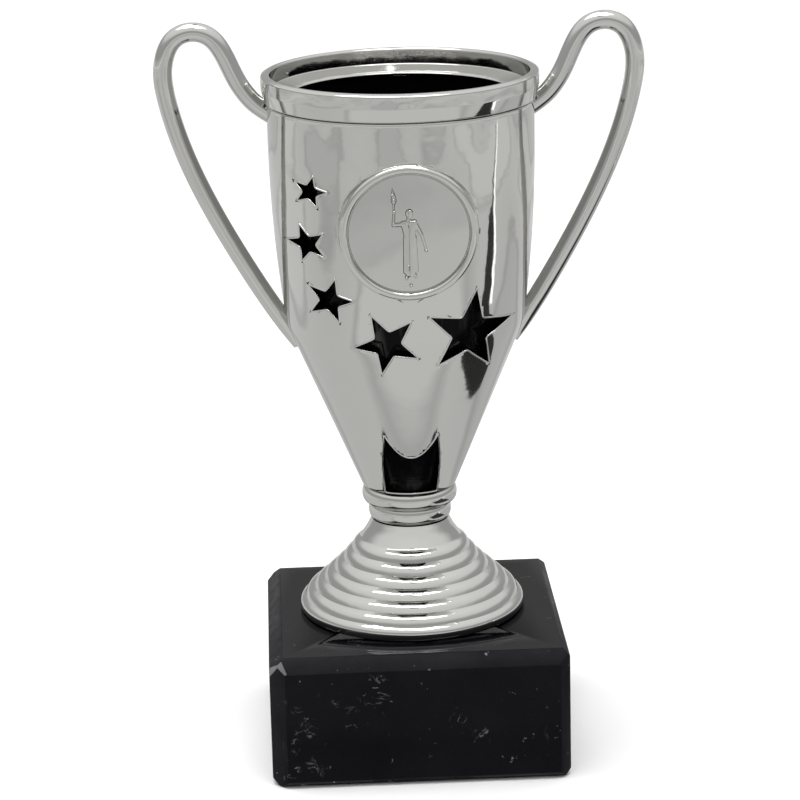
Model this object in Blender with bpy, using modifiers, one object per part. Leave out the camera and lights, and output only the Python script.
"""Two-handled star cup trophy on a marble block.

The cup, its foot and its handles are thin bright shells. One threaded rod clamps the
liner, the cup shell, the neck collar and the foot down onto the drilled marble block.
Sizes are in millimetres and are scaled to metres where a mesh is made.
The origin is the middle of the block's underside, +Z is up and -Y is the front.
"""

import math

import bmesh
import bpy
from mathutils import Matrix, Vector

MM = 0.001
GAP = 0.3  # clearance between pieces that touch
OVERRUN = 2.0  # how far a cutter runs past what it cuts

# Marble block
BASE_SIDE = 63.5
BASE_HEIGHT = 28.4
BASE_TOP_CHAMFERS = {"left": 2.9, "right": 1.5, "front": 2.8, "back": 2.8}
BASE_CORNER_CHAMFERS = {"front_left": 3.2, "front_right": 2.2, "back_left": 2.8, "back_right": 1.6}
BASE_UNDER_CHAMFER = 1.3
COUNTERBORE_RADIUS = 9.5
COUNTERBORE_DEPTH = 10.0

# Clamping rod, nuts and washers
ROD_RADIUS = 2.5
ROD_CHAMFER = 0.5
ROD_BOTTOM = 1.8
ROD_TOP = 67.0
ROD_HOLE_RADIUS = 3.0
NUT_ACROSS_FLATS = 8.0
NUT_HEIGHT = 4.0
LOWER_WASHER_RADIUS = 7.5
UPPER_WASHER_RADIUS = 6.2
WASHER_HEIGHT = 1.0

# Everything above the block is turned about the cup axis, a little behind the block's middle
CUP_Y = 1.6

# Foot: a cove above seven rounded rings
FOOT_BOTTOM = BASE_HEIGHT + GAP
FOOT_TOP = 49.0
FOOT_TOP_RADIUS = 8.4
FOOT_ROOF = 46.4
RING_COUNT = 7
RING_BULGE = 0.4
RING_STEPS = 3
FOOT_LINE = [(11.0, 44.6), (15.0, 39.7), (19.5, 35.4), (22.4, 32.7), (23.9, 30.8), (24.3, 28.7)]
COVE_LINE = [(FOOT_TOP_RADIUS, FOOT_TOP), (8.8, 48.3), (9.8, 46.4)]
FOOT_HOLLOW = [(22.4, FOOT_BOTTOM), (20.2, 32.0), (12.8, 39.0), (8.6, 44.0), (6.2, FOOT_ROOF)]

# Neck collar: two beads, one above the other
COLLAR_BOTTOM = FOOT_TOP + GAP
COLLAR_TOP = 56.6
LOWER_BEAD_RADIUS = 8.95
UPPER_BEAD_RADIUS = 10.3
LOWER_GROOVE_RADIUS = 8.3
UPPER_GROOVE_RADIUS = 9.3
BEAD_SPLIT = 52.8
BEAD_STEP = 0.1

# Cup shell
SHELL_BOTTOM = COLLAR_TOP + GAP
SHELL_TOP = 142.2
SHELL_WALL = 2.0
SHELL_LINE = [
    (28.1, 140.9),
    (28.1, 132.0),
    (27.8, 120.0),
    (27.1, 109.0),
    (26.2, 100.0),
    (25.7, 95.8),
    (24.8, 91.6),
    (23.1, 87.0),
    (15.5, 68.4),
    (10.15, SHELL_BOTTOM),
]
REBATE_RADIUS = 27.6
REBATE_BOTTOM = 140.9

# Rim ring: lip, tapered skirt over the shell's edge, funnel and ledge inside
RIM_TOP = 147.0
SKIRT_BOTTOM = REBATE_BOTTOM + GAP
RIM_OUTSIDE = [
    (28.5, RIM_TOP),
    (29.0, 146.7),
    (29.2, 146.1),
    (29.15, 144.2),
    (28.75, 142.6),
    (28.5, SKIRT_BOTTOM),
]
LEDGE_RADIUS = 23.2
LEDGE_INSIDE = [(26.0, SHELL_TOP + GAP), (LEDGE_RADIUS, 141.4), (LEDGE_RADIUS, 142.3)]
LIP_INSIDE = [(27.2, 143.5), (27.2, 146.1), (27.4, 146.7), (27.9, RIM_TOP)]

# Black liner inside the shell
LINER_GAP = 0.5
LINER_WALL = 1.2
LINER_TOP = 141.2
LINER_FLOOR = 2.0
LINER_FOOT_STEP = 0.5  # how far the outside draws in at the bottom
LINER_WELL_STEP = 0.2  # how far the inside widens at its floor

# Emblem holder and disc, on a plane that leans with the cup's side
HOLDER_Z = 118.2
HOLDER_OUT = 27.6
HOLDER_LEAN = math.radians(2.9)
RECESS_RADIUS = 12.5
RECESS_DEPTH = 1.0
DISC_RADIUS = RECESS_RADIUS - GAP
DISC_HEIGHT = 0.7
DISC_EDGE = 0.2
BOSS_OUTLINE = [
    (0, 0.3),
    (RECESS_RADIUS, 0.3),
    (12.9, 0.6),
    (13.7, 0.6),
    (14.2, 0.25),
    (14.3, -1.5),
    (14.6, -5.5),
    (0, -5.5),
]

# Star windows: centre x, centre z, point radius, turn in degrees
STARS = [
    (-19.8, 125.8, 3.4, 12.0),
    (-20.7, 114.6, 4.1, -21.0),
    (-16.4, 103.0, 4.9, 14.0),
    (-4.9, 94.2, 7.0, -27.0),
    (12.4, 95.6, 9.5, 9.6),
]
STAR_INNER = 0.4

# The star and window cutters run straight back from in front of the cup to near its axis
CUTTER_FRONT = CUP_Y - 40.0
CUTTER_DEPTH = 39.0

# Window at the foot of the cup, with a curved upper edge between two points
WINDOW_HALF_WIDTH = 5.75
WINDOW_BULGE = 0.4
WINDOW_TAPER = 0.2
WINDOW_STEPS = 4
WINDOW_POINT_Z = 72.0
WINDOW_CURVE_Z = 66.3
WINDOW_MIDDLE_Z = 65.0

# Handles: x, z and radius down the right one, from the rim to the lower socket
HANDLE_LINE = [
    (27.1, 138.4, 2.0),
    (29.0, 139.7, 2.0),
    (31.4, 141.6, 2.0),
    (34.2, 145.7, 2.0),
    (36.0, 150.2, 2.0),
    (38.0, 153.9, 2.0),
    (40.3, 155.8, 2.0),
    (43.3, 156.4, 2.0),
    (46.2, 155.5, 2.0),
    (48.3, 153.2, 2.0),
    (49.7, 148.2, 2.0),
    (48.9, 141.9, 2.0),
    (46.0, 131.3, 2.0),
    (41.1, 120.0, 2.0),
    (35.6, 109.5, 2.0),
    (29.4, 98.9, 2.0),
    (26.3, 94.2, 2.0),
    (24.6, 91.0, 1.6),
    (23.3, 88.0, 0.8),
]
HANDLE_STEPS = 2
SOCKET_DEPTH = 4.0

ROUND_STEPS = 40
SMALL_ROUND_STEPS = 24

BRIGHT = ("bright_metallised", (0.72, 0.72, 0.71), 0.12, 1.0)
BLACK_PLASTIC = ("black_plastic", (0.012, 0.012, 0.014), 0.2, 0.0)
MARBLE = ("black_marble", (0.02, 0.02, 0.024), 0.2, 0.0)
STEEL = ("zinc_steel", (0.55, 0.56, 0.57), 0.35, 1.0)


def clear_scene():
    for existing in list(bpy.data.objects):
        bpy.data.objects.remove(existing, do_unlink=True)


def new_collection(name):
    made = bpy.data.collections.new(name)
    bpy.context.scene.collection.children.link(made)
    return made


def material(look):
    name, colour, roughness, metallic = look
    if name in bpy.data.materials:
        return bpy.data.materials[name]
    made = bpy.data.materials.new(name)
    made.use_nodes = True
    shader = made.node_tree.nodes["Principled BSDF"]
    shader.inputs["Base Color"].default_value = (*colour, 1.0)
    shader.inputs["Roughness"].default_value = roughness
    shader.inputs["Metallic"].default_value = metallic
    return made


def add_object(name, data, look=None):
    """Links a new object: a piece with its look, or a hidden cutter without one."""
    made = bpy.data.objects.new(name, data)
    if look is None:
        cutters.objects.link(made)
        made.hide_render = True
        made.display_type = "WIRE"
    else:
        trophy.objects.link(made)
        data.materials.append(material(look))
    return made


def mesh_from(bm, name):
    bmesh.ops.recalc_face_normals(bm, faces=bm.faces)
    mesh = bpy.data.meshes.new(name)
    bm.to_mesh(mesh)
    bm.free()
    return mesh


def turned(name, section, look=None, steps=ROUND_STEPS):
    """A section of (radius, height) turned about Z. It runs down the outer side first.

    A section that starts and ends on the axis is open there, and any other is a closed loop.
    """
    mesh = bpy.data.meshes.new(name)
    points = [(radius * MM, 0.0, height * MM) for radius, height in section]
    edges = [(i, i + 1) for i in range(len(points) - 1)]
    if section[0][0] > 0.0:
        edges.append((len(points) - 1, 0))
    mesh.from_pydata(points, edges, [])
    made = add_object(name, mesh, look)
    screw = made.modifiers.new("turn", "SCREW")
    screw.axis = "Z"
    screw.steps = steps
    screw.render_steps = steps
    screw.use_smooth_shade = True
    screw.use_merge_vertices = True
    screw.merge_threshold = 0.00001
    return made


def on_cup_axis(piece):
    piece.location.y = CUP_Y * MM
    return piece


def cut(piece, cutter, operation="DIFFERENCE"):
    boolean = piece.modifiers.new(cutter.name, "BOOLEAN")
    boolean.operation = operation
    boolean.object = cutter
    boolean.solver = "EXACT"


def smooth_line(points, steps):
    """Catmull-Rom points through a line, with steps points for each span."""
    line = [Vector(point) for point in points]
    line = [2 * line[0] - line[1], *line, 2 * line[-1] - line[-2]]
    made = []
    for a, b, c, d in zip(line, line[1:], line[2:], line[3:]):
        for i in range(steps):
            t = i / steps
            made.append(
                0.5
                * (
                    2 * b
                    + (c - a) * t
                    + (2 * a - 5 * b + 4 * c - d) * t**2
                    + (3 * b - a - 3 * c + d) * t**3
                )
            )
    made.append(line[-2])
    return made


def inset_line(points, distance):
    """The line moved towards the axis, square to its own direction."""
    moved = []
    for i, point in enumerate(points):
        before = points[max(i - 1, 0)]
        after = points[min(i + 1, len(points) - 1)]
        along = (after - before).normalized()
        moved.append(point + distance * Vector((along.y, -along.x)))
    return moved


def marble_block():
    half, height = BASE_SIDE / 2, BASE_HEIGHT
    bm = bmesh.new()
    bmesh.ops.create_cube(bm, size=BASE_SIDE * MM)
    bmesh.ops.scale(bm, vec=(1, 1, height / BASE_SIDE), verts=bm.verts)
    bmesh.ops.translate(bm, vec=(0, 0, height / 2 * MM), verts=bm.verts)
    sides = {"left": (-1, 0), "right": (1, 0), "front": (0, -1), "back": (0, 1)}
    planes = []
    for side, (x, y) in sides.items():
        top, under = BASE_TOP_CHAMFERS[side], BASE_UNDER_CHAMFER
        planes.append((Vector((x * (half - top), y * (half - top), height)), Vector((x, y, 1))))
        planes.append((Vector((x * (half - under), y * (half - under), 0)), Vector((x, y, -1))))
    for corner, width in BASE_CORNER_CHAMFERS.items():
        y_side, x_side = corner.split("_")
        x, y = sides[x_side][0], sides[y_side][1]
        planes.append((Vector((x * (half - width), y * half, 0)), Vector((x, y, 0))))
    for point, normal in planes:
        everything = bm.verts[:] + bm.edges[:] + bm.faces[:]
        bmesh.ops.bisect_plane(
            bm, geom=everything, plane_co=point * MM, plane_no=normal, clear_outer=True
        )
        bmesh.ops.holes_fill(bm, edges=[edge for edge in bm.edges if edge.is_boundary])
    block = add_object("marble_base", mesh_from(bm, "marble_base"), MARBLE)
    above = height + OVERRUN
    hole = [(0, above), (ROD_HOLE_RADIUS, above), (ROD_HOLE_RADIUS, COUNTERBORE_DEPTH)]
    hole += [(COUNTERBORE_RADIUS, COUNTERBORE_DEPTH), (COUNTERBORE_RADIUS, -OVERRUN), (0, -OVERRUN)]
    cut(block, on_cup_axis(turned("base_hole", hole, steps=SMALL_ROUND_STEPS)))


def nut(name, bottom):
    bm = bmesh.new()
    corner_radius = NUT_ACROSS_FLATS / math.sqrt(3) * MM
    bmesh.ops.create_cone(
        bm, cap_ends=True, segments=6, radius1=corner_radius, radius2=corner_radius,
        depth=NUT_HEIGHT * MM,
    )
    bmesh.ops.translate(bm, vec=(0, 0, (bottom + NUT_HEIGHT / 2) * MM), verts=bm.verts)
    made = on_cup_axis(add_object(name, mesh_from(bm, name), STEEL))
    above = bottom + NUT_HEIGHT + OVERRUN
    bore = ring_section(0, ROD_RADIUS + GAP, bottom - OVERRUN, above)
    cut(made, on_cup_axis(turned(name + "_bore", bore, steps=SMALL_ROUND_STEPS)))


def ring_section(inner, outer, bottom, top):
    """The section of a washer, or of a plain cylinder where inner is 0."""
    return [(inner, top), (outer, top), (outer, bottom), (inner, bottom)]


def washer(name, bottom, radius):
    section = ring_section(ROD_RADIUS + GAP, radius, bottom, bottom + WASHER_HEIGHT)
    on_cup_axis(turned(name, section, STEEL, SMALL_ROUND_STEPS))


def clamping_rod():
    end_radius = ROD_RADIUS - ROD_CHAMFER
    section = [(0, ROD_TOP), (end_radius, ROD_TOP), (ROD_RADIUS, ROD_TOP - ROD_CHAMFER)]
    section += [(ROD_RADIUS, ROD_BOTTOM + ROD_CHAMFER), (end_radius, ROD_BOTTOM), (0, ROD_BOTTOM)]
    on_cup_axis(turned("threaded_rod", section, STEEL, SMALL_ROUND_STEPS))
    lower_washer_bottom = COUNTERBORE_DEPTH - GAP - WASHER_HEIGHT
    washer("lower_washer", lower_washer_bottom, LOWER_WASHER_RADIUS)
    nut("lower_nut", lower_washer_bottom - GAP - NUT_HEIGHT)
    upper_washer_bottom = COLLAR_TOP + GAP + LINER_FLOOR + GAP
    washer("upper_washer", upper_washer_bottom, UPPER_WASHER_RADIUS)
    nut("upper_nut", upper_washer_bottom + WASHER_HEIGHT + GAP)


def foot():
    ringed = smooth_line(FOOT_LINE, 12)
    lengths = [0.0]
    for a, b in zip(ringed, ringed[1:]):
        lengths.append(lengths[-1] + (b - a).length)
    outer = [Vector(point) for point in COVE_LINE]
    count = RING_COUNT * RING_STEPS
    for i in range(count + 1):
        at = lengths[-1] * i / count
        k = max(j for j in range(len(lengths) - 1) if lengths[j] <= at)
        share = (at - lengths[k]) / (lengths[k + 1] - lengths[k])
        along = (ringed[k + 1] - ringed[k]).normalized()
        bulge = RING_BULGE * abs(math.sin(math.pi * i / RING_STEPS))
        outer.append(ringed[k].lerp(ringed[k + 1], share) - bulge * Vector((along.y, -along.x)))
    section = [tuple(point) for point in outer] + FOOT_HOLLOW
    section += [(ROD_HOLE_RADIUS, FOOT_ROOF), (ROD_HOLE_RADIUS, FOOT_TOP)]
    on_cup_axis(turned("foot_shell", section, BRIGHT))


def bead(bottom, top, groove, crest, steps=4):
    """Points down a rounded bead between two grooves."""
    middle, half = (bottom + top) / 2, (top - bottom) / 2
    angles = [math.pi * i / steps for i in range(steps + 1)]
    return [(groove + (crest - groove) * math.sin(a), middle + half * math.cos(a)) for a in angles]


def neck_collar():
    section = bead(BEAD_SPLIT, COLLAR_TOP, UPPER_GROOVE_RADIUS, UPPER_BEAD_RADIUS)
    lower_top = BEAD_SPLIT - BEAD_STEP
    section += bead(COLLAR_BOTTOM, lower_top, LOWER_GROOVE_RADIUS, LOWER_BEAD_RADIUS)
    section += [(ROD_HOLE_RADIUS, COLLAR_BOTTOM), (ROD_HOLE_RADIUS, COLLAR_TOP)]
    on_cup_axis(turned("neck_collar", section, BRIGHT))


def to_holder(piece):
    """Places a piece, turned about Z, on the holder's axis with +Z pointing out of the cup."""
    out = Vector((0, -math.cos(HOLDER_LEAN), -math.sin(HOLDER_LEAN)))
    piece.matrix_world = Matrix.Translation(
        Vector((0, CUP_Y - HOLDER_OUT, HOLDER_Z)) * MM
    ) @ out.to_track_quat("Z", "Y").to_matrix().to_4x4()
    return piece


def star_cutters():
    """Five-pointed prisms along Y through the front wall, joined in one mesh."""
    bm = bmesh.new()
    for x, z, radius, turn in STARS:
        corners = []
        for i in range(10):
            angle = math.radians(turn) + math.pi * i / 5
            reach = radius if i % 2 == 0 else radius * STAR_INNER
            corner = (x + reach * math.sin(angle), CUTTER_FRONT, z + reach * math.cos(angle))
            corners.append(bm.verts.new(Vector(corner) * MM))
        push_back(bm, bm.faces.new(corners))
    return add_object("star_cutters", mesh_from(bm, "star_cutters"))


def push_back(bm, face):
    """Extrudes an outline at the front into a prism that ends near the cup axis."""
    moved = bmesh.ops.extrude_face_region(bm, geom=[face])["geom"]
    verts = [item for item in moved if isinstance(item, bmesh.types.BMVert)]
    bmesh.ops.translate(bm, vec=(0, CUTTER_DEPTH * MM, 0), verts=verts)


def window_cutter():
    half = WINDOW_HALF_WIDTH
    outline = []
    for i in range(2 * WINDOW_STEPS + 1):
        x = half * (1 - i / WINDOW_STEPS)
        drop = (WINDOW_POINT_Z - WINDOW_CURVE_Z) * (1 - (x / half) ** 2)
        outline.append((x, WINDOW_POINT_Z - drop))
    below = SHELL_BOTTOM - OVERRUN / 2
    outline += [(-half - WINDOW_BULGE, WINDOW_MIDDLE_Z), (-half + WINDOW_TAPER, below)]
    outline += [(half - WINDOW_TAPER, below), (half + WINDOW_BULGE, WINDOW_MIDDLE_Z)]
    bm = bmesh.new()
    corners = [bm.verts.new(Vector((x, CUTTER_FRONT, z)) * MM) for x, z in outline]
    push_back(bm, bm.faces.new(corners))
    return add_object("window_cutter", mesh_from(bm, "window_cutter"))


def cup_shell(socket_cutters):
    outer = [Vector(point) for point in SHELL_LINE]
    inner = inset_line(outer, SHELL_WALL)
    section = [(0, SHELL_TOP), (REBATE_RADIUS, SHELL_TOP), (REBATE_RADIUS, REBATE_BOTTOM)]
    section += [tuple(point) for point in outer] + [(0, SHELL_BOTTOM)]
    shell = on_cup_axis(turned("cup_shell", section, BRIGHT))

    cut(shell, to_holder(turned("holder_boss", BOSS_OUTLINE)), "UNION")
    above, below = SHELL_TOP + OVERRUN, SHELL_BOTTOM - OVERRUN
    cavity = [(0, above), (inner[0].x, above)] + [tuple(point) for point in inner]
    cavity += [(inner[-1].x, below), (0, below)]
    cut(shell, on_cup_axis(turned("shell_cavity", cavity)))
    recess = ring_section(0, RECESS_RADIUS, -RECESS_DEPTH, OVERRUN)
    cut(shell, to_holder(turned("emblem_recess", recess)))
    cut(shell, star_cutters())
    cut(shell, window_cutter())
    for cutter in socket_cutters:
        cut(shell, cutter)


def rim_ring(socket_cutters):
    rebate = REBATE_RADIUS + GAP
    section = RIM_OUTSIDE + [(rebate, SKIRT_BOTTOM), (rebate, SHELL_TOP + GAP)]
    section += LEDGE_INSIDE + LIP_INSIDE
    ring = on_cup_axis(turned("rim_ring", section, BRIGHT))
    for cutter in socket_cutters:
        cut(ring, cutter)


def liner():
    middle = [Vector(point) for point in SHELL_LINE]
    outside = inset_line(middle, SHELL_WALL + LINER_GAP)
    inside = inset_line(middle, SHELL_WALL + LINER_GAP + LINER_WALL)
    bottom = COLLAR_TOP + GAP
    section = [(outside[0].x, LINER_TOP)] + [tuple(point) for point in outside[1:]]
    floor = bottom + LINER_FLOOR
    section += [(outside[-1].x - LINER_FOOT_STEP, bottom), (ROD_HOLE_RADIUS, bottom)]
    section += [(ROD_HOLE_RADIUS, floor), (inside[-1].x + LINER_WELL_STEP, floor)]
    section += [tuple(point) for point in reversed(inside[1:-1])] + [(inside[0].x, LINER_TOP)]
    on_cup_axis(turned("liner", section, BLACK_PLASTIC))


def tube_along(name, points, look=None, more=0.0):
    """A round tube through points of (x, y, z, radius), with more added to each radius."""
    curve = bpy.data.curves.new(name, "CURVE")
    curve.dimensions = "3D"
    curve.bevel_depth = MM
    curve.bevel_resolution = 3
    curve.use_fill_caps = True
    spline = curve.splines.new("POLY")
    spline.points.add(len(points) - 1)
    for slot, point in zip(spline.points, points):
        slot.co = (*(point.xyz * MM), 1.0)
        slot.radius = point.w + more
    return add_object(name, curve, look)


def as_mesh_cutter(tube):
    """Replaces a hidden tube with a welded mesh, which a Boolean can use."""
    graph = bpy.context.evaluated_depsgraph_get()
    mesh = bpy.data.meshes.new_from_object(tube.evaluated_get(graph))
    bm = bmesh.new()
    bm.from_mesh(mesh)
    bmesh.ops.remove_doubles(bm, verts=bm.verts, dist=0.000001)
    bmesh.ops.recalc_face_normals(bm, faces=bm.faces)
    bm.to_mesh(mesh)
    bm.free()
    cutter = add_object(tube.name + "_mesh", mesh)
    cutter.matrix_world = tube.matrix_world
    bpy.data.objects.remove(tube, do_unlink=True)
    return cutter


def handle(name, side):
    """One handle, and the cutter for its two sockets in the shell."""
    points = [Vector((side * x, CUP_Y, z, radius)) for x, z, radius in HANDLE_LINE]
    line = smooth_line(points, HANDLE_STEPS)
    tube_along(name, line, BRIGHT)
    start = line[0] + SOCKET_DEPTH * (line[0] - line[1]).normalized()
    end = line[-1] + 2 * GAP * (line[-1] - line[-2]).normalized()
    return as_mesh_cutter(tube_along(name + "_socket", [start, *line, end], more=GAP))


def emblem_disc():
    section = [(0, 0), (DISC_RADIUS - DISC_EDGE, 0), (DISC_RADIUS, -DISC_EDGE)]
    section += [(DISC_RADIUS, -DISC_HEIGHT), (0, -DISC_HEIGHT)]
    to_holder(turned("emblem_disc", section, BRIGHT))


clear_scene()
trophy = new_collection("star_cup_trophy")
cutters = new_collection("cutters")
marble_block()
clamping_rod()
foot()
neck_collar()
sockets = [handle("left_handle", -1), handle("right_handle", 1)]
cup_shell(sockets)
rim_ring(sockets)
liner()
emblem_disc()
